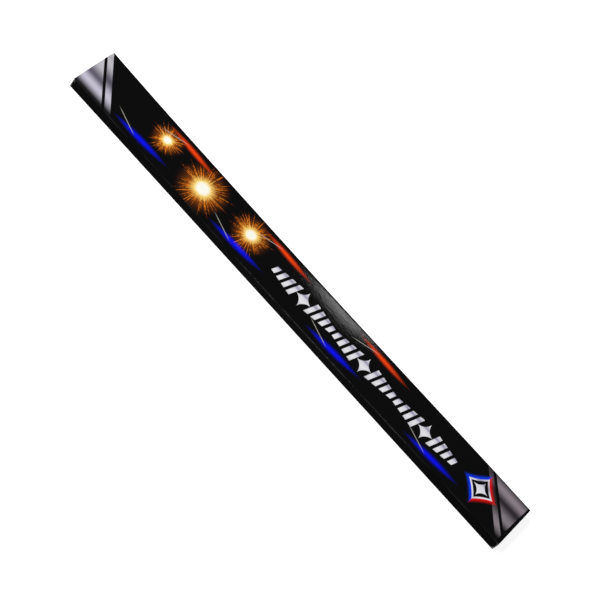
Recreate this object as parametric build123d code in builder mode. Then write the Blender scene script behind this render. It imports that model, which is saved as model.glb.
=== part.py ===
import os

from build123d import *

os.makedirs("parts", exist_ok=True)

# A flat carton of folding boxboard, closed by a tuck flap at each end, with a row of sparklers inside.
# Millimetres. X runs along the carton, Y from its near side to its far side, Z up from the face it lies on.

# Sparklers
sparkler_count = 8
sparkler_length = 400.0
wire_diameter = 1.8
coating_diameter = 4.5
coating_length = 272.0  # from the tip to the end of the shoulder
shoulder_length = 5.0  # taper where the coating ends on the wire
tip_cover = 2.0  # coating past the end of the wire
bond_gap = 0.02  # between the wire and the coating

# Carton, cut to fit round the row of sparklers
board = 0.5  # thickness of the boxboard
crease_radius = 0.35  # rounding on the outside of the long creases
end_room = 10.0  # from the end of a sparkler to the outside of the closure panel
row_slack = 2.4  # free width in the row, shared out between the sparklers and the sides
floor_gap = 0.15  # from a coating to the back panel under it
head_room = 3.35  # from a coating to the front panel over it

# Seam on the far side
glue_flap_height = 6.0  # above the back panel
glue_film = 0.1  # thickness of the glue
glue_margin = 0.8  # bare board above and below the glue
glue_end_margin = 4.0  # bare board at the ends of the glue

# Tuck ends
panel_side_gap = 0.25  # closure panel's edges inside the carton's sides
flap_gap = 0.3  # from a dust flap to the closure panel over it
tongue_gap = 0.6  # from a tongue to the panel that it slides under
tongue_depth = 6.5  # how far a tongue reaches into the carton
tongue_inset = 1.0  # each end of a tongue inside its closure panel's edge
tongue_slant = 6.5  # how far each end of a tongue leans in on its way to the tip
tongue_corner = 2.5  # rounding of the tip's corners
dust_length = 6.0  # from the side panel's crease to the flap's free edge
dust_crease_gap = 0.3  # from the flap to the panel that carries the closure
dust_crease_rise = 2.3  # how far the edge on that side rises towards the free edge
dust_tongue_gap = 0.5  # from the flap to the tongue above it
dust_tongue_drop = 1.0  # how far the edge under the tongue falls towards the free edge
dust_corner = 0.8  # rounding of the free edge's corners

# Places worked out from the sizes above
carton_length = sparkler_length + 2 * end_room  # over the two closure panels
carton_width = sparkler_count * coating_diameter + row_slack + 3 * board + glue_film  # over the two side panels
carton_depth = 2 * board + floor_gap + coating_diameter + head_room  # over the back and front panels
half_length = carton_length / 2
half_width = carton_width / 2
sleeve_end = half_length - 2 * board - flap_gap  # where the side panels stop, behind the dust flaps
panel_end = half_length - board  # where a panel stops that a closure hangs on
closure_height = carton_depth - board - tongue_gap  # from the closure's crease to the top of its tongue
seam_face = half_width - board - glue_film  # outside of the glue flap
inside_near = -half_width + board
inside_far = seam_face - board
side_height = carton_depth - board

# Front panel: hangs the right closure, and covers the left tongue with its free edge
with BuildPart() as front_panel:
    with BuildSketch(Plane.XY.offset(carton_depth)):
        with Locations(((panel_end - half_length) / 2, 0)):
            Rectangle(panel_end + half_length, carton_width)
    extrude(amount=-board)
    top_edges = front_panel.faces().sort_by(Axis.Z)[-1].edges().filter_by(Axis.X)
    fillet(top_edges, radius=crease_radius)
front_panel.part.label = "front_panel"
export_step(front_panel.part, "parts/front_panel.step")

# Back panel: hangs the left closure, and the glue flap along its far crease
with BuildPart() as back_panel:
    with BuildSketch(Plane.XY):
        with Locations(((half_length - panel_end) / 2, (inside_near + seam_face) / 2)):
            Rectangle(panel_end + half_length, seam_face - inside_near)
    extrude(amount=board)
back_panel.part.label = "back_panel"
export_step(back_panel.part, "parts/back_panel.step")

# Near side panel, rounded where it folds into the back panel
with BuildPart() as near_side_panel:
    with BuildSketch(Plane.XZ.offset(half_width)):
        with Locations((0, side_height / 2)):
            Rectangle(2 * sleeve_end, side_height)
    extrude(amount=-board)
    low_edge = near_side_panel.edges().filter_by(Axis.X).group_by(Axis.Z)[0].sort_by(Axis.Y)[0]
    fillet(low_edge, radius=crease_radius)
near_side_panel.part.label = "near_side_panel"
export_step(near_side_panel.part, "parts/near_side_panel.step")

# Far side panel, whose lower edge is cut and glued over the glue flap
with BuildPart() as far_side_panel:
    with BuildSketch(Plane.XZ.offset(-half_width)):
        with Locations((0, side_height / 2)):
            Rectangle(2 * sleeve_end, side_height)
    extrude(amount=board)
far_side_panel.part.label = "far_side_panel"
export_step(far_side_panel.part, "parts/far_side_panel.step")

# Glue flap, folded up from the back panel
with BuildPart() as glue_flap:
    with BuildSketch(Plane.XZ.offset(-seam_face)):
        with Locations((0, board + glue_flap_height / 2)):
            Rectangle(2 * sleeve_end, glue_flap_height)
    extrude(amount=board)
glue_flap.part.label = "glue_flap"
export_step(glue_flap.part, "parts/glue_flap.step")

# Film of glue between the glue flap and the far side panel
with BuildPart() as seam_glue:
    with BuildSketch(Plane.XZ.offset(-seam_face)):
        with Locations((0, board + glue_flap_height / 2)):
            Rectangle(2 * (sleeve_end - glue_end_margin), glue_flap_height - 2 * glue_margin)
    extrude(amount=-glue_film)
seam_glue.part.label = "seam_glue"
export_step(seam_glue.part, "parts/seam_glue.step")


def make_tuck_end(side, end_plane):
    # In the end plane, x runs to the near side, y from the closure's crease to its tongue, z out of the carton.
    panel_half = half_width - panel_side_gap

    with BuildPart() as closure_panel:
        with BuildSketch(end_plane):
            with Locations((0, (closure_height - board) / 2)):
                Rectangle(2 * panel_half, closure_height - board)
        extrude(amount=-board)
    closure_panel.part.label = f"{side}_closure_panel"
    export_step(closure_panel.part, f"parts/{side}_closure_panel.step")

    # The tongue lies on the closure panel's free edge and points into the carton
    tongue_half = panel_half - tongue_inset
    tongue_tip = tongue_half - tongue_slant
    tongue_origin = end_plane.from_local_coords((0, closure_height, 0))
    tongue_plane = Plane(tongue_origin, x_dir=end_plane.x_dir, z_dir=end_plane.y_dir)
    with BuildPart() as tuck_tongue:
        with BuildSketch(tongue_plane) as tongue_outline:
            with BuildLine():
                Polyline(
                    (-tongue_half, 0),
                    (tongue_half, 0),
                    (tongue_half, board),
                    (tongue_tip, tongue_depth),
                    (-tongue_tip, tongue_depth),
                    (-tongue_half, board),
                    close=True,
                )
            make_face()
            fillet(tongue_outline.vertices().group_by(Axis.Y)[-1], radius=tongue_corner)
        extrude(amount=-board)
    tuck_tongue.part.label = f"{side}_tuck_tongue"
    export_step(tuck_tongue.part, f"parts/{side}_tuck_tongue.step")

    # Dust flaps turn on the side panels' ends, behind the closure panel
    dust_plane = end_plane.offset(-board - flap_gap)
    dust_low = board + dust_crease_gap
    dust_high = closure_height - board - dust_tongue_gap
    for across, where in ((1, "near"), (-1, "far")):
        with BuildPart() as dust_flap:
            with BuildSketch(dust_plane) as dust_outline:
                free_x = across * (half_width - dust_length)
                with BuildLine():
                    Polyline(
                        (across * half_width, dust_low),
                        (free_x, dust_low + dust_crease_rise),
                        (free_x, dust_high - dust_tongue_drop),
                        (across * half_width, dust_high),
                        close=True,
                    )
                make_face()
                free_corners = dust_outline.vertices().sort_by(Axis.X, reverse=across < 0)[:2]
                fillet(free_corners, radius=dust_corner)
            extrude(amount=-board)
        dust_flap.part.label = f"{side}_{where}_dust_flap"
        export_step(dust_flap.part, f"parts/{side}_{where}_dust_flap.step")


# The left closure hangs on the back panel. The right end is the left one given a half turn about Y.
make_tuck_end("left", Plane((-half_length, 0, 0), x_dir=(0, -1, 0), z_dir=(-1, 0, 0)))
make_tuck_end("right", Plane((half_length, 0, carton_depth), x_dir=(0, -1, 0), z_dir=(1, 0, 0)))

# Sparklers, side by side on the back panel with their tips to the left
coating_radius = coating_diameter / 2
wire_radius = wire_diameter / 2
bore_radius = wire_radius + bond_gap
side_gap = row_slack / (sparkler_count + 1)
sparkler_pitch = coating_diameter + side_gap
sparkler_z = board + floor_gap + coating_radius
tip_x = -sparkler_length / 2
wire_start = tip_x + tip_cover + bond_gap
wire_end = sparkler_length / 2

for number in range(1, sparkler_count + 1):
    sparkler_y = inside_near + side_gap + coating_radius + (number - 1) * sparkler_pitch

    with BuildPart() as wire:
        with BuildSketch(Plane((wire_start, sparkler_y, sparkler_z), x_dir=(0, 1, 0), z_dir=(1, 0, 0))):
            Circle(wire_radius)
        extrude(amount=wire_end - wire_start)
    wire.part.label = f"sparkler_{number}_wire"
    export_step(wire.part, f"parts/sparkler_{number}_wire.step")

    # Half section, turned about the sparkler's own axis: domed tip, plain barrel, tapered shoulder, blind bore
    section_plane = Plane((tip_x, sparkler_y, sparkler_z), x_dir=(1, 0, 0), z_dir=(0, -1, 0))
    with BuildPart() as coating:
        with BuildSketch(section_plane):
            with BuildLine():
                CenterArc((coating_radius, 0), coating_radius, 180, -90)
                Polyline(
                    (coating_radius, coating_radius),
                    (coating_length - shoulder_length, coating_radius),
                    (coating_length, bore_radius),
                    (tip_cover, bore_radius),
                    (tip_cover, 0),
                    (0, 0),
                )
            make_face()
        revolve(axis=Axis((tip_x, sparkler_y, sparkler_z), (1, 0, 0)))
    coating.part.label = f"sparkler_{number}_coating"
    export_step(coating.part, f"parts/sparkler_{number}_coating.step")
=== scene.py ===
import math

import bmesh
import bpy
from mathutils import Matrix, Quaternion, Vector, noise


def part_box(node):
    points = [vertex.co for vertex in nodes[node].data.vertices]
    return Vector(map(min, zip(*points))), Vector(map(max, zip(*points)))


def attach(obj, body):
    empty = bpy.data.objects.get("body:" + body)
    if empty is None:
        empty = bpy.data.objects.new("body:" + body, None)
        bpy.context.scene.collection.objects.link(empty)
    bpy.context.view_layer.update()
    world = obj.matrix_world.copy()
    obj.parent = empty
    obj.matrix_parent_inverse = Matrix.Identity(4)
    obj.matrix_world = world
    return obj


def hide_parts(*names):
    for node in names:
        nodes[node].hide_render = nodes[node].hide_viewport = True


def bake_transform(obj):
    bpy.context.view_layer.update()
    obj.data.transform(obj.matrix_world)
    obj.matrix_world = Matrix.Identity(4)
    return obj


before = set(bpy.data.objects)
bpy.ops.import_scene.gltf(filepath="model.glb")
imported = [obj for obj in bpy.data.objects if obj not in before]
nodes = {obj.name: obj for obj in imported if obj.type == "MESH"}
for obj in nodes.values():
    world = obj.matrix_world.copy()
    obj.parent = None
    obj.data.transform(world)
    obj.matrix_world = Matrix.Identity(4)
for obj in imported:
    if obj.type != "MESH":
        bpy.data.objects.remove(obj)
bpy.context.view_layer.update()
scene = bpy.context.scene
mm = 0.001

# Camera at the photo's viewing angle, rolled so that the carton lies on the picture's diagonal
cameraSettings = {
    "place": (0.0813, -0.8387, 1.0438),
    "aim": (0.0018, -0.0048, 0.009),
    "roll": 43.38,  # degrees
    "lens": 119.3,
    "sensor": 36.0,
    "clip": (0.01, 20.0),
}


def setUp(item, place, aim, roll):
    # puts a camera or a lamp in its place and turns it to what it aims at
    scene.collection.objects.link(item)
    item.location = place
    item.rotation_mode = "QUATERNION"
    look = (Vector(aim) - Vector(place)).to_track_quat("-Z", "Y")
    item.rotation_quaternion = look @ Quaternion((0, 0, 1), math.radians(roll))


def makeCamera():
    data = bpy.data.cameras.new("packCamera")
    data.lens = cameraSettings["lens"]
    data.sensor_width = cameraSettings["sensor"]
    data.clip_start, data.clip_end = cameraSettings["clip"]
    camera = bpy.data.objects.new("packCamera", data)
    setUp(camera, cameraSettings["place"], cameraSettings["aim"], cameraSettings["roll"])
    scene.camera = camera


makeCamera()
scene.view_settings.view_transform = "Standard"
print("camera placed")


# Helpers for shader nodes
def srgb(red, green, blue):
    def linear(value):
        value /= 255.0
        if value <= 0.04045:
            return value / 12.92
        return ((value + 0.055) / 1.055) ** 2.4

    return (linear(red), linear(green), linear(blue), 1.0)


def tones(stops):
    return [(position, srgb(*colour)) for position, colour in stops]


def addNode(tree, kind, **settings):
    node = tree.nodes.new(kind)
    for key, value in settings.items():
        setattr(node, key, value)
    return node


def feed(tree, socket, value):
    if isinstance(value, bpy.types.NodeSocket):
        tree.links.new(value, socket)
    else:
        socket.default_value = value


def calc(tree, operation, first, second=0.0, third=0.0, clamp=False):
    node = addNode(tree, "ShaderNodeMath", operation=operation, use_clamp=clamp)
    for socket, value in zip(node.inputs, (first, second, third)):
        feed(tree, socket, value)
    return node.outputs[0]


def fade(tree, value, start, end, kind="SMOOTHSTEP", low=0.0, high=1.0):
    # low at start, high at end, smooth or LINEAR between
    node = addNode(tree, "ShaderNodeMapRange", interpolation_type=kind, clamp=True)
    feed(tree, node.inputs["Value"], value)
    node.inputs["From Min"].default_value = start
    node.inputs["From Max"].default_value = end
    node.inputs["To Min"].default_value = low
    node.inputs["To Max"].default_value = high
    return node.outputs["Result"]


def band(tree, value, low, high, soft):
    rise = fade(tree, value, low - soft, low + soft)
    fall = fade(tree, value, high + soft, high - soft)
    return calc(tree, "MULTIPLY", rise, fall)


def mixColour(tree, factor, under, over, blend="MIX"):
    node = addNode(tree, "ShaderNodeMix", data_type="RGBA", blend_type=blend)
    feed(tree, node.inputs[0], factor)
    feed(tree, node.inputs[6], under)
    feed(tree, node.inputs[7], over)
    return node.outputs[2]


def rampColour(tree, value, stops):
    node = addNode(tree, "ShaderNodeValToRGB")
    node.color_ramp.interpolation = "EASE"
    elements = node.color_ramp.elements
    while len(elements) < len(stops):
        elements.new(0.5)
    for element, (position, colour) in zip(elements, tones(stops)):
        element.position = position
        element.color = colour
    feed(tree, node.inputs[0], value)
    return node.outputs[0]


def grain(tree, vector, scale, detail=2.0, roughness=0.5):
    node = addNode(tree, "ShaderNodeTexNoise")
    feed(tree, node.inputs["Vector"], vector)
    node.inputs["Scale"].default_value = scale
    node.inputs["Detail"].default_value = detail
    node.inputs["Roughness"].default_value = roughness
    return node.outputs["Fac"]


def stretched(tree, vector, scale):
    node = addNode(tree, "ShaderNodeMapping")
    feed(tree, node.inputs["Vector"], vector)
    node.inputs["Scale"].default_value = scale
    return node.outputs[0]


def objectPlace(tree):
    return addNode(tree, "ShaderNodeTexCoord").outputs["Object"]


def newTree(name):
    material = bpy.data.materials.new(name)
    material.use_nodes = True
    tree = material.node_tree
    tree.nodes.clear()
    return material, tree, addNode(tree, "ShaderNodeOutputMaterial").inputs["Surface"]


def newMaterial(name):
    material, tree, surface = newTree(name)
    shader = addNode(tree, "ShaderNodeBsdfPrincipled")
    tree.links.new(shader.outputs[0], surface)
    return material, tree, shader


def addBump(tree, shader, height, strength, distance):
    node = addNode(tree, "ShaderNodeBump")
    node.inputs["Strength"].default_value = strength
    node.inputs["Distance"].default_value = distance
    feed(tree, node.inputs["Height"], height)
    tree.links.new(node.outputs[0], shader.inputs["Normal"])


# Studio: a big soft lamp to the left, a fill to the right, and a small lamp behind for the sheen
studio = {
    "worldColour": (0.95, 0.97, 1.0, 1.0),
    "worldStrength": 0.06,
    "lamps": [  # name, place, size, power and roll in degrees
        ("keyLamp", (-1.5, -0.6, 1.55), (1.2, 1.1), 50.0, 0.0),
        ("fillLamp", (1.35, -0.6, 1.3), (1.0, 0.8), 16.0, 0.0),
        ("sheenLamp", (-0.042, 1.135, 1.151), (0.100, 0.100), 0.185, -30.0),
    ],
    "lampAim": (0.0, 0.0, 0.0),
    "floorColour": (0.80, 0.80, 0.80, 1.0),
    "floorLift": 0.62,  # glow near the carton, which rises to 1 where the lamps don't reach
    "floorFar": (0.6, 2.4),
    "floorHalf": 8.0,
    "floorDrop": 0.3 * mm,  # below the carton
    "floorUpturn": 2.0,  # height of the rim at its far edges
}


def makeWorld():
    world = bpy.data.worlds.new("studioWorld")
    scene.world = world
    world.use_nodes = True
    background = world.node_tree.nodes["Background"]
    background.inputs[0].default_value = studio["worldColour"]
    background.inputs[1].default_value = studio["worldStrength"]


def makeLamps():
    for name, place, size, power, roll in studio["lamps"]:
        data = bpy.data.lights.new(name, "AREA")
        data.shape = "RECTANGLE"
        data.size, data.size_y = size
        data.energy = power
        setUp(bpy.data.objects.new(name, data), place, studio["lampAim"], roll)


def makeFloorFinish():
    # matt under the lamps, and lifted to white wherever the camera or a reflection sees it
    material, tree, surface = newTree("paleFloor")
    matt = addNode(tree, "ShaderNodeBsdfDiffuse")
    matt.inputs["Color"].default_value = studio["floorColour"]
    path = addNode(tree, "ShaderNodeLightPath")
    seen = calc(tree, "MAXIMUM", path.outputs["Is Camera Ray"], path.outputs["Is Glossy Ray"])
    seen = calc(tree, "MAXIMUM", seen, path.outputs["Is Transmission Ray"])
    away = addNode(tree, "ShaderNodeVectorMath", operation="LENGTH")
    feed(tree, away.inputs[0], objectPlace(tree))
    lift = fade(tree, away.outputs["Value"], *studio["floorFar"], low=studio["floorLift"])
    glow = addNode(tree, "ShaderNodeEmission")
    feed(tree, glow.inputs["Strength"], calc(tree, "MULTIPLY", seen, lift))
    both = addNode(tree, "ShaderNodeAddShader")
    tree.links.new(matt.outputs[0], both.inputs[0])
    tree.links.new(glow.outputs[0], both.inputs[1])
    tree.links.new(both.outputs[0], surface)
    return material


def makeFloor():
    half = studio["floorHalf"]
    corners = [(-half, -half), (half, -half), (half, half), (-half, half)]
    heights = (-studio["floorDrop"], studio["floorUpturn"])
    faces = [(0, 1, 2, 3)]
    for side in range(4):
        after = (side + 1) % 4
        faces.append((side, after, after + 4, side + 4))
    mesh = bpy.data.meshes.new("studioFloor")
    mesh.from_pydata([(x, y, z) for z in heights for x, y in corners], [], faces)
    mesh.materials.append(makeFloorFinish())
    floor = bpy.data.objects.new("studioFloor", mesh)
    scene.collection.objects.link(floor)


makeWorld()
makeLamps()
makeFloor()
print("studio lit")

# The carton's board is one creased sheet, so each piece of it carries its place on the flat sheet
# as a UV map in metres
board = {
    "gauge": 0.5 * mm,
    "foldOuter": 0.6 * mm,  # radius outside a crease
    "foldSteps": 6,
    "lead": 0.5 * mm,  # flat board that goes with a crease
    "sharpAngle": 40.0,  # degrees, above which an edge isn't smoothed
}
frontLow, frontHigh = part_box("front_panel")
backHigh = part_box("back_panel")[1]
glueLow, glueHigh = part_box("glue_flap")
closureLow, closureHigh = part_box("left_closure_panel")
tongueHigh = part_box("left_tuck_tongue")[1]
dustLow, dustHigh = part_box("left_near_dust_flap")
cartonTop = frontHigh.z
halfWidth = frontHigh.y
foldAt = halfWidth - board["foldOuter"]

# Places round the flat sheet, from the front panel's middle
halfCrease = board["foldOuter"] * math.pi / 4  # length of half a crease
sideDrop = cartonTop - 2 * board["foldOuter"]
creaseGirth = foldAt + halfCrease  # middle of the front panel's creases
lowGirth = creaseGirth + halfCrease + sideDrop  # where the near side's lower crease starts
backMiddle = -(lowGirth + 2 * halfCrease + foldAt)


def foldArc(centre, start, end, girth, direction):
    # rows of a crease between two angles in degrees: outside, inside and place round the flat sheet
    outer = board["foldOuter"]
    inner = outer - board["gauge"]
    rows = []
    for step in range(board["foldSteps"] + 1):
        angle = math.radians(start + (end - start) * step / board["foldSteps"])
        way = (math.cos(angle), math.sin(angle))
        outside = [c + outer * w for c, w in zip(centre, way)]
        inside = [c + inner * w for c, w in zip(centre, way)]
        turned = abs(angle - math.radians(start)) * outer
        rows.append((outside, inside, girth + direction * turned))
    return rows


def flatRun(first, last, steps):
    # rows between two others, without those two
    rows = []
    for step in range(1, steps):
        part = step / steps
        outside = [a + (b - a) * part for a, b in zip(first[0], last[0])]
        inside = [a + (b - a) * part for a, b in zip(first[1], last[1])]
        rows.append((outside, inside, first[2] + (last[2] - first[2]) * part))
    return rows


def boardMesh(name, grid, places):
    # grid holds rows of outside and inside points, and places their spots on the flat sheet
    built = bmesh.new()
    sheet = built.loops.layers.uv.new("flatSheet")
    spots = {}
    outer = []
    inner = []
    for row, placeRow in zip(grid, places):
        outer.append([built.verts.new(outside) for outside, inside in row])
        inner.append([built.verts.new(inside) for outside, inside in row])
        for vert, other, place in zip(outer[-1], inner[-1], placeRow):
            spots[vert] = place
            spots[other] = place
    rows = len(grid)
    columns = len(grid[0])

    def face(corners, finish):
        made = built.faces.new(corners)
        made.material_index = finish
        made.smooth = True
        for loop in made.loops:
            loop[sheet].uv = spots[loop.vert]

    # finish 0 is the print, 1 the inside and 2 the cut edges
    for i in range(rows - 1):
        for j in range(columns - 1):
            face((outer[i][j], outer[i + 1][j], outer[i + 1][j + 1], outer[i][j + 1]), 0)
            face((inner[i][j], inner[i][j + 1], inner[i + 1][j + 1], inner[i + 1][j]), 1)
    for i in range(rows - 1):
        face((outer[i][0], inner[i][0], inner[i + 1][0], outer[i + 1][0]), 2)
        face((outer[i][-1], outer[i + 1][-1], inner[i + 1][-1], inner[i][-1]), 2)
    for j in range(columns - 1):
        face((outer[0][j], outer[0][j + 1], inner[0][j + 1], inner[0][j]), 2)
        face((outer[-1][j], inner[-1][j], inner[-1][j + 1], outer[-1][j + 1]), 2)
    return meshFrom(built, name)


def meshFrom(built, name):
    bmesh.ops.recalc_face_normals(built, faces=built.faces)
    mesh = bpy.data.meshes.new(name)
    built.to_mesh(mesh)
    built.free()
    mesh.set_sharp_from_angle(angle=math.radians(board["sharpAngle"]))
    return mesh


def addPiece(mesh, name, body, materials, node):
    # body is one body's name, which the piece is attached to, or two names with the points of a crease
    # between them, in which case the piece only has its transform baked in
    piece = bpy.data.objects.new(name, mesh)
    scene.collection.objects.link(piece)
    for material in materials:
        mesh.materials.append(material)
    if isinstance(body, str):
        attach(piece, body)
    else:
        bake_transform(piece)
    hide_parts(node)


# The sleeve, and the shape that it takes between its square ends
sleeve = {
    "reach": 190 * mm,  # from the middle to where the ends hold it square
    "lean": 0.87 * mm,  # front panel shifted to the near side
    "sink": 0.5 * mm,  # front panel lower
    "crown": 0.5 * mm,  # front panel bowed up across its width
    "crownPower": 4,  # keeps the crown in the front panel
    "flareReach": 80 * mm,  # at the left end, which the tongue springs open a little
    "flareLift": 1.1 * mm,
    "flareOut": 0.6 * mm,
    "stepLength": 5 * mm,
    "acrossSteps": 16,
    "sideSteps": 6,
    "glueFlapSteps": 4,
    "cutLift": 0.05 * mm,  # from the floor to the far side's cut edge
}


def sleeveWarp(x, y, z):
    share = min(1.0, abs(x) / sleeve["reach"])
    bow = (1 - share * share) ** 2
    spring = max(0.0, 1 - (x - frontLow.x) / sleeve["flareReach"]) ** 2
    rise = z / cartonTop
    across = y / halfWidth
    farther = 0.5 + 0.5 * across
    crown = sleeve["crown"] * (1 - across * across) * rise ** sleeve["crownPower"]
    shift = sleeve["flareOut"] * spring * farther - sleeve["lean"] * bow
    lift = sleeve["flareLift"] * spring * farther - sleeve["sink"] * bow
    return Vector((x, y + shift * rise, z + lift * rise + crown * max(bow, spring)))


def makePanel(name, chain, start, end, materials, node):
    # a panel of the sleeve: rows of points across it, swept along the carton
    steps = round((end - start) / sleeve["stepLength"])
    grid = []
    places = []
    for step in range(steps + 1):
        x = start + (end - start) * step / steps
        row = [(sleeveWarp(x, *outside), sleeveWarp(x, *inside)) for outside, inside, girth in chain]
        grid.append(row)
        places.append([(x, girth) for outside, inside, girth in chain])
    addPiece(boardMesh(name, grid, places), name, "carton", materials, node)


def makeSleeve(frontPrint, backPrint, sidePrint, rawInside, rawEdge):
    low = board["foldOuter"]
    high = cartonTop - board["foldOuter"]
    farFold = glueHigh.y - board["foldOuter"]
    flapRoom = board["foldOuter"] + board["lead"]
    closureStart = closureLow.x + flapRoom  # where a panel goes over to a closure flap at the left end
    dustStart = dustLow.x + flapRoom  # where a side goes over to a dust flap there
    bare = [rawInside, rawEdge]
    # front panel, from crease to crease
    nearArc = foldArc((-foldAt, high), 135, 90, -creaseGirth, 1)
    farArc = foldArc((foldAt, high), 90, 45, foldAt, 1)
    chain = nearArc + flatRun(nearArc[-1], farArc[0], sleeve["acrossSteps"]) + farArc
    makePanel("frontPanel", chain, frontLow.x, -closureStart, [frontPrint] + bare, "front_panel")
    # near side, down to the back panel's crease
    topArc = foldArc((-foldAt, high), 135, 180, -creaseGirth, -1)
    lowArc = foldArc((-foldAt, low), 180, 225, -lowGirth, -1)
    chain = topArc + flatRun(topArc[-1], lowArc[0], sleeve["sideSteps"]) + lowArc
    makePanel("nearSidePanel", chain, dustStart, -dustStart, [sidePrint] + bare, "near_side_panel")
    # back panel, on to the glue flap's crease
    backArc = foldArc((-foldAt, low), 225, 270, lowArc[-1][2], -1)
    seamArc = foldArc((farFold, low), 270, 315, backArc[-1][2] - foldAt - farFold, -1)
    chain = backArc + flatRun(backArc[-1], seamArc[0], sleeve["acrossSteps"]) + seamArc
    makePanel("backPanel", chain, closureStart, backHigh.x, [backPrint] + bare, "back_panel")
    # glue flap, inside the far side
    flapArc = foldArc((farFold, low), 315, 360, seamArc[-1][2], -1)
    flapTop = ([glueHigh.y, glueHigh.z], [glueLow.y, glueHigh.z], flapArc[-1][2] - (glueHigh.z - low))
    chain = flapArc + flatRun(flapArc[-1], flapTop, sleeve["glueFlapSteps"]) + [flapTop]
    makePanel("glueFlap", chain, dustStart, -dustStart, [rawInside] + bare, "glue_flap")
    # far side, whose lower edge is cut
    sideArc = foldArc((foldAt, high), 45, 0, creaseGirth, 1)
    cutZ = sleeve["cutLift"]
    cutEdge = ([halfWidth, cutZ], [halfWidth - board["gauge"], cutZ], creaseGirth + halfCrease + high)
    chain = sideArc + flatRun(sideArc[-1], cutEdge, sleeve["sideSteps"]) + [cutEdge]
    makePanel("farSidePanel", chain, dustStart, -dustStart, [sidePrint] + bare, "far_side_panel")


# Tuck ends, each made for the left end and given a half turn about Y for the right one
tuck = {
    "tongueTipHalf": 12.25 * mm,
    "tongueCorner": 2.5 * mm,
    "dustRise": 2.3 * mm,  # how far a dust flap's edges close in towards its free end
    "dustDrop": 1.0 * mm,
    "dustCorner": 0.8 * mm,
    "dustBendHeight": 4.0 * mm,
    "leadSteps": 3,
    "closureSteps": 6,
    "tongueSteps": 8,
    "dustSteps": 6,
    "tipSteps": 4,  # in the last step to a rounded tip
    "columns": 16,
    "dustColumns": 6,
}
endX = closureLow.x  # outside of the left closure panel
bendX = endX + board["foldOuter"]
closureHalf = closureHigh.y
tongueFoldZ = tongueHigh.z - board["foldOuter"]
splitZ = tongueFoldZ - board["lead"]  # where the closure flap goes over to its tongue


def halfTurn(point, side):
    if side == "left":
        return Vector(point)
    return Vector((-point[0], point[1], cartonTop - point[2]))


def flapProfile(root, arc, tip, steps, tipSteps):
    # rows from the root, round the crease and on to the free edge
    profile = [root] + flatRun(root, arc[0], tuck["leadSteps"]) + arc + flatRun(arc[-1], tip, steps)
    return profile + flatRun(profile[-1], tip, tipSteps) + [tip]


def cornerInset(along, reach, corner):
    # how far a rounded corner draws an edge in, near the free end
    past = along - (reach - corner)
    if past <= 0:
        return 0.0
    return corner - math.sqrt(max(0.0, corner * corner - past * past))


def makeFlap(name, side, profile, extent, columns, place, bend, materials, node):
    # extent gives the flap's two edges at a distance from its root, and place puts its points in space
    grid = []
    places = []
    for outside, inside, along in profile:
        low, high = extent(along)
        row = []
        placeRow = []
        for column in range(columns + 1):
            across = low + (high - low) * column / columns
            row.append((halfTurn(place(*outside, across), side), halfTurn(place(*inside, across), side)))
            placeRow.append((along, across))
        grid.append(row)
        places.append(placeRow)
    body = (bend[0], bend[1], halfTurn(bend[2], side), halfTurn(bend[3], side))
    addPiece(boardMesh(name, grid, places), name, body, materials, node)


def upright(x, z, y):
    return (x, y, z)


def makeClosureFlap(side, materials):
    # closure panel with the crease that it hangs on
    outer = board["foldOuter"]
    lead = board["lead"]
    gauge = board["gauge"]
    root = ([bendX + lead, 0.0], [bendX + lead, gauge], 0.0)
    arc = foldArc((bendX, outer), 270, 180, lead, 1)
    top = ([endX, splitZ], [endX + gauge, splitZ], arc[-1][2] + splitZ - outer)
    profile = flapProfile(root, arc, top, tuck["closureSteps"], 1)

    def extent(along):
        return (-closureHalf, closureHalf)

    bend = ("carton", f"{side}_closure", (bendX, 0, 0), (endX, 0, outer))
    makeFlap(f"{side}ClosureFlap", side, profile, extent, tuck["columns"], upright, bend,
             materials, f"{side}_closure_panel")


def makeTongue(side, materials):
    # tongue with the crease that it folds on
    lead = board["lead"]
    gauge = board["gauge"]
    topZ = tongueHigh.z
    rootHalf = tongueHigh.y
    root = ([endX, splitZ], [endX + gauge, splitZ], 0.0)
    arc = foldArc((bendX, tongueFoldZ), 180, 90, lead, 1)
    straightStart = arc[-1][2]
    reach = straightStart + tongueHigh.x - bendX
    tip = ([tongueHigh.x, topZ], [tongueHigh.x, topZ - gauge], reach)
    profile = flapProfile(root, arc, tip, tuck["tongueSteps"], tuck["tipSteps"])

    def extent(along):
        if along <= lead:
            return (-closureHalf, closureHalf)
        part = max(0.0, (along - straightStart) / (reach - straightStart))
        half = rootHalf + (tuck["tongueTipHalf"] - rootHalf) * part
        half -= cornerInset(along, reach, tuck["tongueCorner"])
        return (-half, half)

    bend = (f"{side}_closure", f"{side}_tongue", (endX, 0, tongueFoldZ), (bendX, 0, topZ))
    makeFlap(f"{side}TuckTongue", side, profile, extent, tuck["columns"], upright, bend,
             materials, f"{side}_tuck_tongue")


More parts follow.
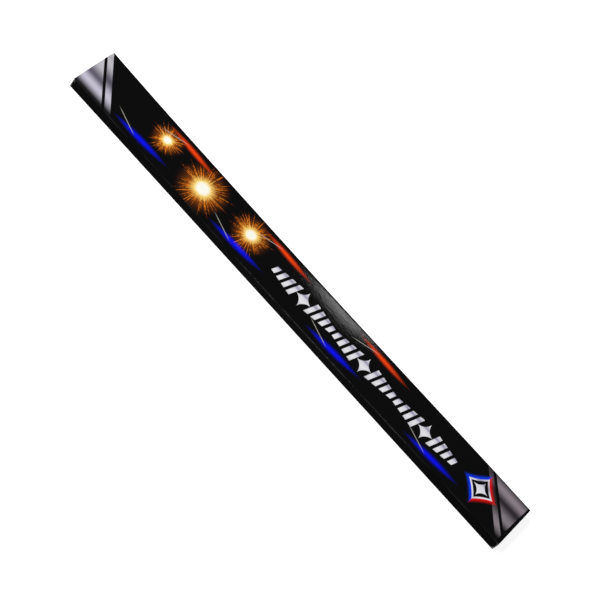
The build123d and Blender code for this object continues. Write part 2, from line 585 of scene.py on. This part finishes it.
def makeDustFlap(side, where, way, materials):
    # dust flap with its crease on the end of a side panel
    outer = board["foldOuter"]
    lead = board["lead"]
    gauge = board["gauge"]
    dustX = dustLow.x
    edgeY = dustLow.y
    turnX = dustX + outer
    root = ([turnX + lead, edgeY], [turnX + lead, edgeY + gauge], 0.0)
    arc = foldArc((turnX, edgeY + outer), 270, 180, lead, 1)
    straightStart = arc[-1][2]
    reach = straightStart + dustHigh.y - edgeY - outer
    tip = ([dustX, dustHigh.y], [dustX + gauge, dustHigh.y], reach)
    profile = flapProfile(root, arc, tip, tuck["dustSteps"], tuck["tipSteps"])

    def sideways(x, y, z):
        return (x, -way * y, z)

    def extent(along):
        part = max(0.0, (along - straightStart) / (reach - straightStart))
        inset = cornerInset(along, reach, tuck["dustCorner"])
        low = dustLow.z + tuck["dustRise"] * part + inset
        high = dustHigh.z - tuck["dustDrop"] * part - inset
        return (low, high)

    start = (turnX, -way * edgeY, tuck["dustBendHeight"])
    end = (dustX, -way * (edgeY + outer), tuck["dustBendHeight"])
    bend = ("carton", f"{side}_{where}_dust", start, end)
    name = f"{side}{where.capitalize()}DustFlap"
    makeFlap(name, side, profile, extent, tuck["dustColumns"], sideways, bend,
             materials, f"{side}_{where}_dust_flap")


def makeTuckEnd(side, materials):
    makeClosureFlap(side, materials)
    makeTongue(side, materials)
    makeDustFlap(side, "near", -1, materials)
    makeDustFlap(side, "far", 1, materials)


# Glue under the far side, squeezed out to an uneven edge
glueLine = {
    "edgeWave": 0.35 * mm,
    "waveScale": 90,  # per metre
    "lowSeed": 1.7,
    "highSeed": 6.1,
    "stepLength": 4 * mm,
    "columns": 4,
}


def makeGlue(material):
    low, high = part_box("seam_glue")
    steps = round((high.x - low.x) / glueLine["stepLength"])
    columns = glueLine["columns"]
    grid = []
    places = []
    for step in range(steps + 1):
        x = low.x + (high.x - low.x) * step / steps
        wave = x * glueLine["waveScale"]
        bottom = low.z + glueLine["edgeWave"] * noise.noise((wave, glueLine["lowSeed"], 0.0))
        top = high.z + glueLine["edgeWave"] * noise.noise((wave, glueLine["highSeed"], 0.0))
        heights = [bottom + (top - bottom) * column / columns for column in range(columns + 1)]
        grid.append([(sleeveWarp(x, high.y, z), sleeveWarp(x, low.y, z)) for z in heights])
        places.append([(x, z) for z in heights])
    mesh = boardMesh("seamGlue", grid, places)
    addPiece(mesh, "seamGlue", "carton", [material], "seam_glue")


# Sparklers: a dipped coating, lumpy and gritty, over a bare wire
coatingShape = {
    "ringStep": 1.0 * mm,
    "around": 20,
    "tipAngles": (4, 15, 30, 45, 60, 75, 90),  # rings of the domed tip, in degrees
    "shoulder": 6.0 * mm,
    "shoulderSteps": 8,
    "shoulderFilm": 0.03 * mm,  # on the wire where the shoulder runs out
    "leastFilm": 0.02 * mm,
    "lumpDepth": 0.16,  # share of the radius
    "lumpScale": 160,  # per metre
    "lumpSeed": 7.3,
    "gritDepth": 0.06,
    "gritScale": 900,
    "gritSeed": 3.1,
}


def coatingPlaces(low, high, radius):
    # where the rings stand along a coating: its domed tip, its barrel and its shoulder
    places = [low.x + radius * (1 - math.cos(math.radians(angle))) for angle in coatingShape["tipAngles"]]
    barrelStart = places[-1]
    shoulderStart = high.x - coatingShape["shoulder"]
    barrel = shoulderStart - barrelStart
    count = round(barrel / coatingShape["ringStep"])
    places += [barrelStart + barrel * step / count for step in range(1, count + 1)]
    steps = coatingShape["shoulderSteps"]
    places += [shoulderStart + coatingShape["shoulder"] * step / steps for step in range(1, steps + 1)]
    return places


def coatingCut(spot, number):
    # share of the radius that lumps and grit take off at a spot
    lump = noise.noise(spot * coatingShape["lumpScale"] + Vector((number * coatingShape["lumpSeed"], 0, 0)))
    grit = noise.noise(spot * coatingShape["gritScale"] + Vector((0, number * coatingShape["gritSeed"], 0)))
    return coatingShape["lumpDepth"] * (0.5 + 0.5 * lump) + coatingShape["gritDepth"] * (0.5 + 0.5 * grit)


def makeCoating(number, material):
    low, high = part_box(f"sparkler_{number}_coating")
    wireLow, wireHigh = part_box(f"sparkler_{number}_wire")
    axisY = (low.y + high.y) / 2
    axisZ = (low.z + high.z) / 2
    radius = (high.y - low.y) / 2
    wireRadius = (wireHigh.y - wireLow.y) / 2
    domeEnd = low.x + radius
    shoulderStart = high.x - coatingShape["shoulder"]
    around = coatingShape["around"]

    def plainRadius(x):
        if x < domeEnd:
            return math.sqrt(max(0.0, radius ** 2 - (domeEnd - x) ** 2))
        if x > shoulderStart:
            part = (x - shoulderStart) / coatingShape["shoulder"]
            return wireRadius + (radius - wireRadius) * (1 - part * part) + coatingShape["shoulderFilm"]
        return radius

    built = bmesh.new()
    rings = []
    for x in coatingPlaces(low, high, radius):
        plain = plainRadius(x)
        ring = []
        for step in range(around):
            angle = 2 * math.pi * step / around
            way = Vector((0, math.cos(angle), math.sin(angle)))
            size = plain
            if plain > wireRadius:
                cut = coatingCut(Vector((x, way.y * radius, way.z * radius)), number)
                size = max(wireRadius + coatingShape["leastFilm"], plain * (1 - cut))
            ring.append(built.verts.new((x, axisY + way.y * size, axisZ + way.z * size)))
        rings.append(ring)
    for first, second in zip(rings, rings[1:]):
        for step in range(around):
            after = (step + 1) % around
            built.faces.new((first[step], first[after], second[after], second[step]))
    built.faces.new(list(reversed(rings[0])))
    built.faces.new(rings[-1])
    for made in built.faces:
        made.smooth = True
    name = f"sparkler{number}Coating"
    addPiece(meshFrom(built, name), name, f"sparkler_{number}", [material],
             f"sparkler_{number}_coating")


# Print: places in millimetres on the flat sheet, x along the carton and y across its front,
# with colours as they look
printing = {
    "black": (9, 9, 10),
    "silver": [(0.0, (206, 205, 210)), (0.34, (232, 231, 235)), (0.56, (222, 220, 228)),
               (0.72, (160, 157, 180)), (0.86, (204, 202, 212)), (1.0, (238, 237, 240))],
    "edge": 0.1,  # softness of a printed edge
    "sparkleCurve": 0.62,  # under 1 for hollow sides
    "sparkleEdge": (1.02, 0.96),  # shares of its outline
}
black = srgb(*printing["black"])


def sheetPlace(tree):
    # millimetres along the carton and round its girth
    place = addNode(tree, "ShaderNodeUVMap", uv_map="flatSheet")
    scale = addNode(tree, "ShaderNodeVectorMath", operation="SCALE")
    feed(tree, scale.inputs[0], place.outputs[0])
    scale.inputs["Scale"].default_value = 1 / mm
    parts = addNode(tree, "ShaderNodeSeparateXYZ")
    feed(tree, parts.inputs[0], scale.outputs[0])
    return scale.outputs[0], parts.outputs[0], parts.outputs[1]


def distance(tree, across, up):
    squared = calc(tree, "MULTIPLY_ADD", up, up, calc(tree, "MULTIPLY", across, across))
    return calc(tree, "SQRT", squared)


def chance(tree, value, seed):
    node = addNode(tree, "ShaderNodeTexWhiteNoise", noise_dimensions="1D")
    feed(tree, node.inputs["W"], calc(tree, "ADD", value, seed))
    return node.outputs["Value"]


def sparkleSpread(tree, across, up, wide, tall, curve):
    # four points with hollow sides: 0 in the middle, 1 on the outline
    first = calc(tree, "POWER", calc(tree, "ABSOLUTE", calc(tree, "DIVIDE", across, wide)), curve)
    second = calc(tree, "POWER", calc(tree, "ABSOLUTE", calc(tree, "DIVIDE", up, tall)), curve)
    return calc(tree, "ADD", first, second)


def sparkleShape(tree, across, up, wide, tall):
    spread = sparkleSpread(tree, across, up, wide, tall, printing["sparkleCurve"])
    return fade(tree, spread, *printing["sparkleEdge"])


def silverTone(tree, up, half):
    # 0 to 1 up a silver shape of that half height
    return rampColour(tree, calc(tree, "MULTIPLY_ADD", up, 0.5 / half, 0.5), printing["silver"])


# Slanted chrome bands at both ends
chromeArt = {
    "bands": [  # the two edges, each a place and a slant, and the tones up the panel
        ((-260.0, 0.0), (-201.0, 0.91),
         [(0.03, (22, 22, 24)), (0.21, (196, 191, 207)), (0.375, (95, 90, 106)),
          (0.60, (190, 187, 195)), (1.0, (230, 230, 231))]),
        ((-198.0, 0.91), (-192.1, 0.91),
         [(0.03, (18, 18, 20)), (0.26, (196, 191, 207)), (0.50, (88, 84, 98)),
          (0.78, (192, 189, 196)), (0.88, (176, 173, 180)), (1.0, (216, 216, 218))]),
        ((187.3, 0.965), (192.9, 1.02),
         [(0.06, (12, 12, 13)), (0.27, (134, 126, 131)), (0.56, (40, 35, 40)),
          (0.72, (36, 31, 36)), (0.83, (80, 73, 79)), (1.0, (46, 43, 46))]),
        ((196.2, 1.02), (260.0, 0.0),
         [(0.27, (20, 18, 20)), (0.44, (132, 124, 131)), (0.67, (47, 40, 46)),
          (0.85, (142, 130, 138)), (1.0, (66, 62, 66))]),
    ],
    "soft": 0.25,
    "margin": (207.4, -0.04),  # black from here to the right crease
}


def pastEdge(tree, x, y, edge):
    place, slant = edge
    slanted = calc(tree, "MULTIPLY_ADD", y, slant, x)
    return fade(tree, slanted, place - chromeArt["soft"], place + chromeArt["soft"])


def printChrome(tree, x, y, colour):
    height = calc(tree, "MULTIPLY_ADD", y, 0.5 * mm / halfWidth, 0.5)  # 0 to 1 across the panel
    for start, end, stops in chromeArt["bands"]:
        inside = calc(tree, "SUBTRACT", pastEdge(tree, x, y, start), pastEdge(tree, x, y, end))
        colour = mixColour(tree, inside, colour, rampColour(tree, height, stops))
    return mixColour(tree, pastEdge(tree, x, y, chromeArt["margin"]), colour, black)


# Soft streaks of colour, pointed at both ends, and a pale hairline across the start of each
flareArt = {
    "period": 96.0,
    "flares": [  # first place, count, y, slope, width, colour
        (-150.0, 4, -13.2, 0.05, 4.6, (8, 16, 246)),
        (-122.0, 3, 14.0, -0.04, 4.2, (250, 70, 14)),
    ],
    "halfLength": 28.0,
    "falloff": 2.3,
    "leastWidth": 0.001,
    "hairSlope": 0.34,
    "hairHalf": 12.0,
    "hairFull": 0.4,  # share of that length at full strength
    "hairShift": -16.0,
    "hairLevel": 0.82,  # share of the flare's y
    "hairWidth": (0.36, 0.12),  # from the middle to where it ends, and to where it is full
    "hairTint": (176, 172, 160),
}


def flareBody(tree, along, rise, width):
    share = calc(tree, "DIVIDE", along, flareArt["halfLength"])
    taper = calc(tree, "SUBTRACT", 1.0, calc(tree, "MULTIPLY", share, share), clamp=True)
    span = calc(tree, "MULTIPLY_ADD", taper, width, flareArt["leastWidth"])
    body = fade(tree, calc(tree, "DIVIDE", calc(tree, "ABSOLUTE", rise), span), 1.0, 0.0)
    return calc(tree, "POWER", calc(tree, "MULTIPLY", body, taper), flareArt["falloff"])


def flareHair(tree, along, y, level):
    run = calc(tree, "SUBTRACT", along, flareArt["hairShift"])
    half = flareArt["hairHalf"]
    ends = fade(tree, calc(tree, "ABSOLUTE", run), half, half * flareArt["hairFull"])
    slope = math.copysign(flareArt["hairSlope"], level)
    off = calc(tree, "MULTIPLY_ADD", run, -slope, calc(tree, "SUBTRACT", y, level * flareArt["hairLevel"]))
    return calc(tree, "MULTIPLY", fade(tree, calc(tree, "ABSOLUTE", off), *flareArt["hairWidth"]), ends)


def printFlares(tree, x, y, colour):
    period = flareArt["period"]
    for start, count, level, slope, width, tint in flareArt["flares"]:
        inside = band(tree, x, start - period / 2, start + period * (count - 0.5), printing["edge"])
        wrapped = calc(tree, "WRAP", x, start + period / 2, start - period / 2)
        along = calc(tree, "SUBTRACT", wrapped, start)
        rise = calc(tree, "MULTIPLY_ADD", along, -slope, calc(tree, "SUBTRACT", y, level))
        body = calc(tree, "MULTIPLY", flareBody(tree, along, rise, width), inside)
        colour = mixColour(tree, body, colour, srgb(*tint))
        hair = calc(tree, "MULTIPLY", flareHair(tree, along, y, level), inside)
        colour = mixColour(tree, hair, colour, srgb(*flareArt["hairTint"]))
    return colour


# Bursts of sparks: a glow, thin rays of chance length that cool towards their ends, and a white heart
burstArt = {
    "bursts": [  # x, y, reach, core, seed
        (-139.0, 4.0, 17.0, 3.0, 3.0),
        (-98.0, -1.5, 27.0, 5.6, 11.0),
        (-53.0, 2.5, 21.0, 4.2, 23.0),
    ],
    "glowReach": 0.85,  # share of the reach
    "glowPower": 2.6,
    "glowTint": (255, 132, 22),
    "layers": [(92, 0.0), (61, 7.0), (37, 19.0)],  # rays in each, and what sets the layers apart
    "fullReach": 27.0,  # reach at which a burst has that many rays
    "rayPlace": (0.6, 0.2),  # chance and least share of the way to the next ray
    "rayLength": (0.7, 0.3),  # chance and least share of the reach
    "luckPower": 1.8,  # more short rays than long ones
    "luckApart": 90.5,
    "rayWidth": 0.26,
    "rayCore": 0.3,  # share of the width
    "rayEnd": (1.0, 0.6),  # shares of its length between which a ray runs out
    "breakScale": 0.55,  # breaks along the rays
    "breakApart": 7.3,
    "breaks": (0.34, 0.56),
    "rayTones": [(0.0, (255, 250, 226)), (0.30, (255, 204, 88)),
                 (0.62, (244, 128, 26)), (1.0, (150, 50, 6))],
    "haloSize": (2.0, 0.5),  # in cores
    "haloTint": (255, 220, 120),
    "heartSize": (1.25, 0.55),
    "heartTint": (255, 252, 240),
}


def printRays(tree, out, turn, colour, reach, seed, layer):
    rays, apart = layer
    count = round(rays * math.sqrt(reach / burstArt["fullReach"]))
    steps = calc(tree, "MULTIPLY", turn, count / (2 * math.pi))
    ray = calc(tree, "FLOOR", steps)
    middle = calc(tree, "MULTIPLY_ADD", chance(tree, ray, seed + apart), *burstArt["rayPlace"])
    swing = calc(tree, "SUBTRACT", calc(tree, "SUBTRACT", steps, ray), middle)
    stepWidth = calc(tree, "MULTIPLY", out, 2 * math.pi / count)
    aside = calc(tree, "MULTIPLY", calc(tree, "ABSOLUTE", swing), stepWidth)
    luck = chance(tree, ray, seed + apart + burstArt["luckApart"])
    luck = calc(tree, "POWER", luck, burstArt["luckPower"])
    most, least = burstArt["rayLength"]
    length = calc(tree, "MULTIPLY_ADD", luck, reach * most, reach * least)
    along = calc(tree, "DIVIDE", out, length)
    line = fade(tree, aside, burstArt["rayWidth"], burstArt["rayWidth"] * burstArt["rayCore"])
    line = calc(tree, "MULTIPLY", line, fade(tree, along, *burstArt["rayEnd"]))
    pieces = addNode(tree, "ShaderNodeCombineXYZ")
    feed(tree, pieces.inputs[0], calc(tree, "MULTIPLY_ADD", ray, burstArt["breakApart"], seed))
    feed(tree, pieces.inputs[1], out)
    broken = grain(tree, pieces.outputs[0], burstArt["breakScale"], detail=1.0)
    line = calc(tree, "MULTIPLY", line, fade(tree, broken, *burstArt["breaks"]))
    return mixColour(tree, line, colour, rampColour(tree, along, burstArt["rayTones"]), "LIGHTEN")


def printBurst(tree, x, y, colour, spot):
    centreX, centreY, reach, core, seed = spot
    across = calc(tree, "SUBTRACT", x, centreX)
    up = calc(tree, "SUBTRACT", y, centreY)
    out = distance(tree, across, up)
    turn = calc(tree, "ARCTAN2", up, across)
    glow = fade(tree, out, reach * burstArt["glowReach"], 0.0, "LINEAR")
    glow = calc(tree, "POWER", glow, burstArt["glowPower"])
    colour = mixColour(tree, glow, colour, srgb(*burstArt["glowTint"]), "SCREEN")
    for layer in burstArt["layers"]:
        colour = printRays(tree, out, turn, colour, reach, seed, layer)
    halo = fade(tree, out, *[core * share for share in burstArt["haloSize"]])
    colour = mixColour(tree, halo, colour, srgb(*burstArt["haloTint"]), "SCREEN")
    heart = fade(tree, out, *[core * share for share in burstArt["heartSize"]])
    return mixColour(tree, heart, colour, srgb(*burstArt["heartTint"]))


# Silver sparkles in a row, with leaning bars that shrink away from each of them
rowArt = {
    "start": 3.0,
    "step": 60.0,
    "count": 3,
    "y": -1.4,
    "sparkle": (7.2, 8.4),  # half sizes
    "barStep": 6.0,
    "barHalf": 1.75,
    "barLean": 0.28,
    "barClear": 6.4,
    "barTall": 6.6,
    "barShort": 2.6,
}


def rowBars(tree, across, up):
    edge = printing["edge"]
    clear = rowArt["barClear"]
    barHalf = rowArt["barStep"] / 2
    leaned = calc(tree, "MULTIPLY_ADD", up, -rowArt["barLean"], across)
    away = calc(tree, "ABSOLUTE", leaned)
    wrapped = calc(tree, "ABSOLUTE", calc(tree, "WRAP", leaned, barHalf, -barHalf))
    swing = calc(tree, "SUBTRACT", barHalf, wrapped)
    bar = fade(tree, swing, rowArt["barHalf"] + edge, rowArt["barHalf"] - edge)
    bar = calc(tree, "MULTIPLY", bar, fade(tree, away, clear - edge, clear + edge))
    reach = fade(tree, away, clear, rowArt["step"] / 2, "LINEAR", rowArt["barTall"], rowArt["barShort"])
    over = calc(tree, "SUBTRACT", calc(tree, "ABSOLUTE", up), reach)
    return calc(tree, "MULTIPLY", bar, fade(tree, over, edge, -edge))


def printRow(tree, x, y, colour):
    half = rowArt["step"] / 2
    start = rowArt["start"]
    end = start - half + rowArt["step"] * rowArt["count"]
    inside = band(tree, x, start - half, end, printing["edge"])
    across = calc(tree, "SUBTRACT", calc(tree, "WRAP", x, start + half, start - half), start)
    up = calc(tree, "SUBTRACT", y, rowArt["y"])
    sparkle = sparkleShape(tree, across, up, *rowArt["sparkle"])
    shape = calc(tree, "MAXIMUM", sparkle, rowBars(tree, across, up))
    shape = calc(tree, "MULTIPLY", shape, inside)
    return mixColour(tree, shape, colour, silverTone(tree, up, rowArt["barTall"]))


# Emblem: a sparkle inside a silver frame with four points, on a halo of two colours
badgeArt = {
    "x": 176.0,
    "y": 0.4,
    "half": 11.4,  # from the middle to the frame's points
    "curve": 0.86,
    "outline": (1.01, 0.98),  # shares of the frame's outside
    "frame": (0.855, 0.825),  # its inside, as such shares
    "halo": (1.40, 1.0),
    "split": 0.4,  # where the halo's colours meet
    "leftHalo": (16, 60, 240),
    "rightHalo": (222, 16, 18),
    "sparkle": 6.9,
}


def printBadge(tree, x, y, colour):
    across = calc(tree, "SUBTRACT", x, badgeArt["x"])
    up = calc(tree, "SUBTRACT", y, badgeArt["y"])
    half = badgeArt["half"]
    out = sparkleSpread(tree, across, up, half, half, badgeArt["curve"])
    rightward = fade(tree, across, -badgeArt["split"], badgeArt["split"])
    haloTint = mixColour(tree, rightward, srgb(*badgeArt["leftHalo"]), srgb(*badgeArt["rightHalo"]))
    colour = mixColour(tree, fade(tree, out, *badgeArt["halo"]), colour, haloTint)
    silver = silverTone(tree, up, half)
    colour = mixColour(tree, fade(tree, out, *badgeArt["outline"]), colour, silver)
    colour = mixColour(tree, fade(tree, out, *badgeArt["frame"]), colour, black)
    sparkle = sparkleShape(tree, across, up, badgeArt["sparkle"], badgeArt["sparkle"])
    return mixColour(tree, sparkle, colour, silver)


# Ink rubbed off along the near crease: a faint grey line with pale specks
creaseWear = {
    "width": (0.8, 0.1),  # from the crease to where it ends, and to where it is full
    "tone": (54, 54, 56),
    "range": (-42.0, 118.0),  # where it shows most
    "rangeFade": 15.0,
    "elsewhere": 0.35,
    "patchScale": 0.05,
    "patches": (0.35, 0.75),
    "speckScale": 1.5,
    "specks": (0.60, 0.74),
    "speckTone": (128, 126, 124),
}


def wearCrease(tree, sheet, x, y, colour):
    gap = calc(tree, "ABSOLUTE", calc(tree, "ADD", y, creaseGirth / mm))
    line = fade(tree, gap, *creaseWear["width"])
    most = band(tree, x, *creaseWear["range"], creaseWear["rangeFade"])
    share = calc(tree, "MULTIPLY_ADD", most, 1 - creaseWear["elsewhere"], creaseWear["elsewhere"])
    patch = fade(tree, grain(tree, sheet, creaseWear["patchScale"], detail=3.0), *creaseWear["patches"])
    patch = calc(tree, "MULTIPLY", patch, share)
    colour = mixColour(tree, calc(tree, "MULTIPLY", line, patch), colour, srgb(*creaseWear["tone"]))
    speck = fade(tree, grain(tree, sheet, creaseWear["speckScale"]), *creaseWear["specks"])
    speck = calc(tree, "MULTIPLY", speck, calc(tree, "MULTIPLY", line, most))
    return mixColour(tree, speck, colour, srgb(*creaseWear["speckTone"]))


# Varnish over ink on board: faint fibre, ripples along the sheet and a little mottle in the gloss
varnishGrain = {
    "mottle": 0.06,  # scales per millimetre
    "ripple": (0.22, 0.7, 1.0),
    "fibre": 2.2,
    "fibreShare": 0.13,
    "depth": 0.03 * mm,
    "front": (0.3, 0.06),  # gloss and roughness
    "back": (0.1, 0.35),
    "plain": (0.006, 0.45),
}


def varnish(tree, shader, sheet, colour, face):
    gloss, roughness = varnishGrain[face]
    mottle = grain(tree, sheet, varnishGrain["mottle"], detail=3.0)
    fibre = grain(tree, sheet, varnishGrain["fibre"], detail=3.0, roughness=0.6)
    rippled = stretched(tree, sheet, varnishGrain["ripple"])
    ripple = grain(tree, rippled, 1.0, detail=3.0, roughness=0.6)
    rough = calc(tree, "MULTIPLY_ADD", mottle, roughness, roughness / 2)  # the mottle is a half on average
    feed(tree, shader.inputs["Roughness"], rough)
    feed(tree, shader.inputs["Base Color"], colour)
    shader.inputs["Specular IOR Level"].default_value = gloss
    height = calc(tree, "MULTIPLY_ADD", fibre, varnishGrain["fibreShare"], ripple)
    addBump(tree, shader, height, 1.0, varnishGrain["depth"])


def makeFrontPrint():
    material, tree, shader = newMaterial("frontPrint")
    sheet, x, y = sheetPlace(tree)
    colour = printFlares(tree, x, y, black)
    for spot in burstArt["bursts"]:
        colour = printBurst(tree, x, y, colour, spot)
    colour = printRow(tree, x, y, colour)
    colour = printChrome(tree, x, y, colour)
    colour = printBadge(tree, x, y, colour)
    colour = wearCrease(tree, sheet, x, y, colour)
    varnish(tree, shader, sheet, colour, "front")
    return material


# Back: a line frame with a few small sparkles
backArt = {
    "keyline": (188.0, 14.5),  # half sizes
    "keylineWidth": (0.38, 0.22),  # from its middle to where it ends, and to where it is full
    "tint": (150, 147, 156),
    "sparkleStep": 22.0,
    "sparkles": 5,
    "sparkle": 4.2,
}


def makeBackPrint():
    material, tree, shader = newMaterial("backPrint")
    sheet, x, y = sheetPlace(tree)
    up = calc(tree, "SUBTRACT", y, backMiddle / mm)
    halfLong, halfTall = backArt["keyline"]
    overX = calc(tree, "SUBTRACT", calc(tree, "ABSOLUTE", x), halfLong)
    overY = calc(tree, "SUBTRACT", calc(tree, "ABSOLUTE", up), halfTall)
    over = calc(tree, "ABSOLUTE", calc(tree, "MAXIMUM", overX, overY))
    line = fade(tree, over, *backArt["keylineWidth"])
    half = backArt["sparkleStep"] / 2
    across = calc(tree, "WRAP", x, half, -half)
    sparkle = sparkleShape(tree, across, up, backArt["sparkle"], backArt["sparkle"])
    reach = half * backArt["sparkles"]
    sparkle = calc(tree, "MULTIPLY", sparkle, band(tree, x, -reach, reach, printing["edge"]))
    shape = calc(tree, "MAXIMUM", line, sparkle)
    colour = mixColour(tree, shape, black, srgb(*backArt["tint"]))
    varnish(tree, shader, sheet, colour, "back")
    return material


# Sides and flaps: plain ink
plainInk = {"dark": (4, 4, 5), "light": (7, 7, 8), "cloudScale": 0.08}


def makePlainPrint(name, worn):
    material, tree, shader = newMaterial(name)
    sheet, x, y = sheetPlace(tree)
    cloud = grain(tree, sheet, plainInk["cloudScale"])
    colour = mixColour(tree, cloud, srgb(*plainInk["dark"]), srgb(*plainInk["light"]))
    if worn:
        colour = wearCrease(tree, sheet, x, y, colour)
    varnish(tree, shader, sheet, colour, "plain")
    return material


# Bare board, inside and on the cut edges
rawBoard = {
    "rawBoardInside": ((176, 170, 160), (204, 199, 190), 1800.0),  # dark, light and scale of the fibre
    "rawBoardEdge": ((54, 52, 50), (104, 99, 93), 3200.0),
    "fibreShare": 0.6,
    "cloudScale": 60.0,
    "cloudShare": 0.4,
    "roughness": 0.85,
    "bump": (0.25, 0.06 * mm),
}


def makeRawBoard(name):
    dark, light, fibreScale = rawBoard[name]
    material, tree, shader = newMaterial(name)
    place = objectPlace(tree)
    fibre = grain(tree, place, fibreScale, detail=4.0, roughness=0.65)
    cloud = grain(tree, place, rawBoard["cloudScale"])
    fibreTint = calc(tree, "MULTIPLY", fibre, rawBoard["fibreShare"])
    tint = calc(tree, "MULTIPLY_ADD", cloud, rawBoard["cloudShare"], fibreTint)
    feed(tree, shader.inputs["Base Color"], mixColour(tree, tint, srgb(*dark), srgb(*light)))
    shader.inputs["Roughness"].default_value = rawBoard["roughness"]
    addBump(tree, shader, fibre, *rawBoard["bump"])
    return material


# Dried glue
driedGlue = {"dark": (226, 219, 196), "light": (240, 235, 218), "cloudScale": 300.0, "roughness": 0.35}


def makeGlueFinish():
    material, tree, shader = newMaterial("driedGlue")
    cloud = grain(tree, objectPlace(tree), driedGlue["cloudScale"])
    colour = mixColour(tree, cloud, srgb(*driedGlue["dark"]), srgb(*driedGlue["light"]))
    feed(tree, shader.inputs["Base Color"], colour)
    shader.inputs["Roughness"].default_value = driedGlue["roughness"]
    return material


# Grey coating with metal flecks
coatingLook = {
    "dark": (92, 92, 95),
    "light": (132, 131, 131),
    "cloudScale": 220.0,
    "gritScale": 2600.0,
    "flecks": (0.60, 0.68),
    "fleckTint": (186, 186, 190),
    "fleckMetal": 0.7,
    "roughness": 0.85,
    "fleckRoughness": -0.45,  # added on a fleck
    "bump": (0.6, 0.15 * mm),
}


def makeCoatingFinish():
    material, tree, shader = newMaterial("sparklerCoating")
    place = objectPlace(tree)
    cloud = grain(tree, place, coatingLook["cloudScale"], detail=3.0)
    grit = grain(tree, place, coatingLook["gritScale"], detail=3.0, roughness=0.7)
    colour = mixColour(tree, cloud, srgb(*coatingLook["dark"]), srgb(*coatingLook["light"]))
    fleck = fade(tree, grit, *coatingLook["flecks"])
    colour = mixColour(tree, fleck, colour, srgb(*coatingLook["fleckTint"]))
    rough = calc(tree, "MULTIPLY_ADD", fleck, coatingLook["fleckRoughness"], coatingLook["roughness"])
    feed(tree, shader.inputs["Base Color"], colour)
    feed(tree, shader.inputs["Metallic"], calc(tree, "MULTIPLY", fleck, coatingLook["fleckMetal"]))
    feed(tree, shader.inputs["Roughness"], rough)
    addBump(tree, shader, grit, *coatingLook["bump"])
    return material


# Drawn wire, streaked along its length
wireLook = {
    "dark": (142, 138, 132),
    "light": (186, 183, 178),
    "streak": (60.0, 2500.0, 2500.0),
    "roughness": (0.2, 0.28),  # in the streaks, and least
    "bump": (0.15, 0.03 * mm),
}


def makeWireFinish():
    material, tree, shader = newMaterial("sparklerWire")
    streak = grain(tree, stretched(tree, objectPlace(tree), wireLook["streak"]), 1.0, detail=3.0)
    colour = mixColour(tree, streak, srgb(*wireLook["dark"]), srgb(*wireLook["light"]))
    feed(tree, shader.inputs["Base Color"], colour)
    shader.inputs["Metallic"].default_value = 1.0
    feed(tree, shader.inputs["Roughness"], calc(tree, "MULTIPLY_ADD", streak, *wireLook["roughness"]))
    addBump(tree, shader, streak, *wireLook["bump"])
    return material


frontPrint = makeFrontPrint()
backPrint = makeBackPrint()
sidePrint = makePlainPrint("sidePrint", True)
flapPrint = makePlainPrint("flapPrint", False)
rawInside = makeRawBoard("rawBoardInside")
rawEdge = makeRawBoard("rawBoardEdge")
glueFinish = makeGlueFinish()
coatingFinish = makeCoatingFinish()
wireFinish = makeWireFinish()
print("finishes made")

makeSleeve(frontPrint, backPrint, sidePrint, rawInside, rawEdge)
makeGlue(glueFinish)
for side in ("left", "right"):
    makeTuckEnd(side, [flapPrint, rawInside, rawEdge])
print("carton folded")

sparklerCount = sum(name.endswith("_wire") for name in nodes)
for number in range(1, sparklerCount + 1):
    makeCoating(number, coatingFinish)
    wire = nodes[f"sparkler_{number}_wire"]
    wire.data.materials.clear()
    wire.data.materials.append(wireFinish)
print("sparklers packed")
